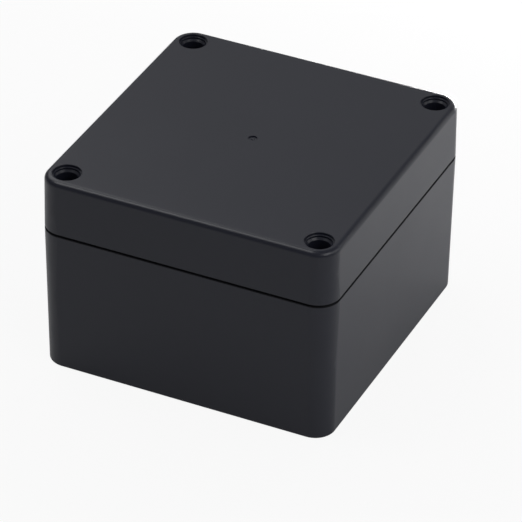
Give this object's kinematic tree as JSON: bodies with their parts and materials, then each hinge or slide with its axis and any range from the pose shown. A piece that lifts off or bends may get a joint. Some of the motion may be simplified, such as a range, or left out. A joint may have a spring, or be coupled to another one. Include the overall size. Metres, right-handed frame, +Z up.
{
  "type": "plastic project box",
  "caption": "Screw-lid plastic enclosure for electronics: drafted base and lid, gasket in a groove, recessed lid screws, brass inserts and wall-mounting holes outside the seal.",
  "frame": {"origin": "middle of the underside", "axes": "+X to the right along the longer side, +Y to the back, +Z up through the lid"},
  "size_m": [0.083, 0.081, 0.056],
  "materials": {
    "box_plastic": "satin moulded",
    "gasket_rubber": "matte",
    "screw_steel": "satin",
    "insert_brass": "turned"
  },
  "bodies": {
    "base": {"enclosure_base": "box_plastic", "threaded_insert_front_left": "insert_brass", "threaded_insert_front_right": "insert_brass", "threaded_insert_back_left": "insert_brass", "threaded_insert_back_right": "insert_brass"},
    "lid_assembly": {"lid": "box_plastic", "lid_gasket": "gasket_rubber"},
    "screw_front_left": {"lid_screw_front_left": "screw_steel"},
    "screw_front_right": {"lid_screw_front_right": "screw_steel"},
    "screw_back_left": {"lid_screw_back_left": "screw_steel"},
    "screw_back_right": {"lid_screw_back_right": "screw_steel"}
  },
  "joints": [
    {"name": "lid_lift", "type": "slide", "parent": "base", "child": "lid_assembly", "axis": [0, 0, 1], "range_m": [0, 0.06]},
    {"name": "screw_turn_front_left", "type": "hinge", "parent": "lid_assembly", "child": "screw_front_left", "pos_m": [-0.0356, -0.0346, 0.0442], "axis": [0, 0, 1], "continuous": true},
    {"name": "screw_turn_front_right", "type": "hinge", "parent": "lid_assembly", "child": "screw_front_right", "pos_m": [0.0356, -0.0346, 0.0442], "axis": [0, 0, 1], "continuous": true},
    {"name": "screw_turn_back_left", "type": "hinge", "parent": "lid_assembly", "child": "screw_back_left", "pos_m": [-0.0356, 0.0346, 0.0442], "axis": [0, 0, 1], "continuous": true},
    {"name": "screw_turn_back_right", "type": "hinge", "parent": "lid_assembly", "child": "screw_back_right", "pos_m": [0.0356, 0.0346, 0.0442], "axis": [0, 0, 1], "continuous": true}
  ]
}
